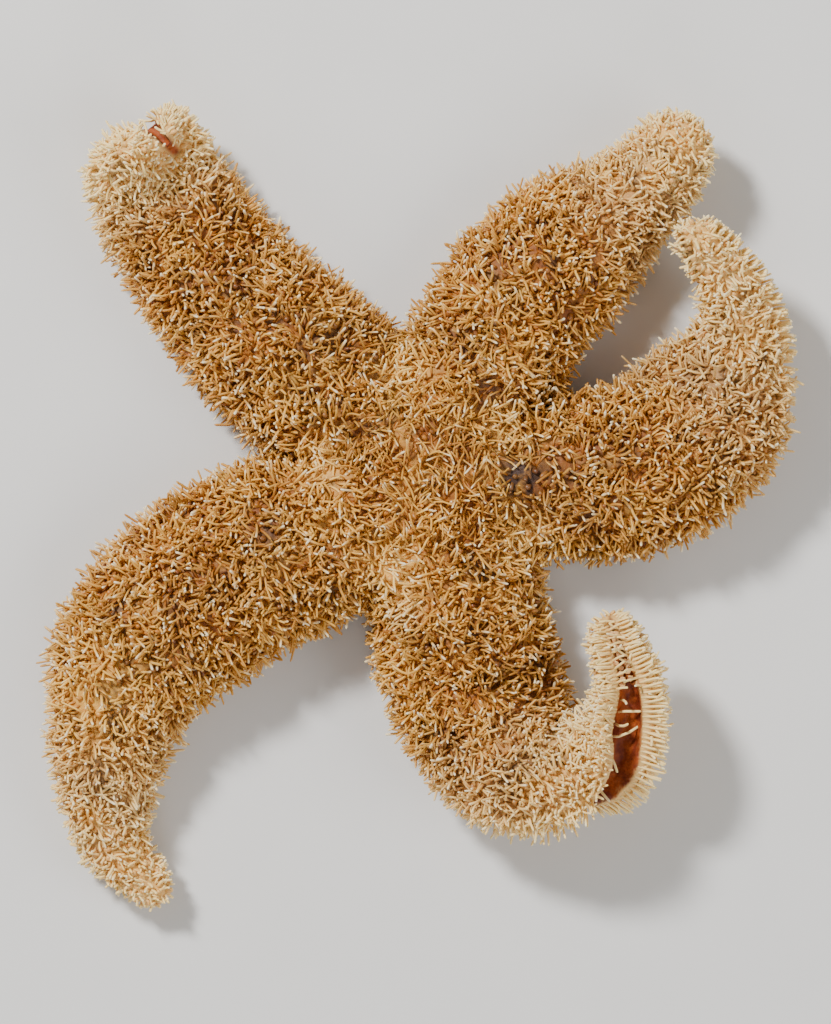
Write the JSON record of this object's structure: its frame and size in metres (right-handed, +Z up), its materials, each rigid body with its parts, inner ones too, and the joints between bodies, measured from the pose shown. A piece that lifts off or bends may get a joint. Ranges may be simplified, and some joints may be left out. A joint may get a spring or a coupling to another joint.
{
  "type": "starfish",
  "caption": "Small spiny starfish lying flat, with tapering arms; one arm sweeps round to a thin tip and the others bend, roll over or curl up at the end.",
  "frame": {"origin": "middle of the specimen's outline seen from above, on the floor it lies on", "axes": "+Z up from the floor to the animal's back, +Y towards the two arm tips that lie side by side at the top of the picture, +X towards the arm that bends back on itself"},
  "size_m": [0.0438, 0.0472, 0.0088],
  "materials": {
    "skin_tan": "satin, ochre brown skin with paler spines",
    "skin_cream": "satin, pale cream skin and spines"
  },
  "bodies": {
    "root": {"disc": "skin_tan", "arm_1_root": "skin_tan", "arm_1_tip": "skin_cream", "arm_2_root": "skin_tan", "arm_2_middle": "skin_tan", "arm_2_tip": "skin_cream", "arm_3_root": "skin_tan", "arm_3_middle": "skin_tan", "arm_3_tip": "skin_cream", "arm_4_root": "skin_tan", "arm_4_middle": "skin_tan", "arm_4_tip": "skin_cream", "arm_5_root": "skin_tan", "arm_5_tip": "skin_cream"}
  },
  "joints": []
}
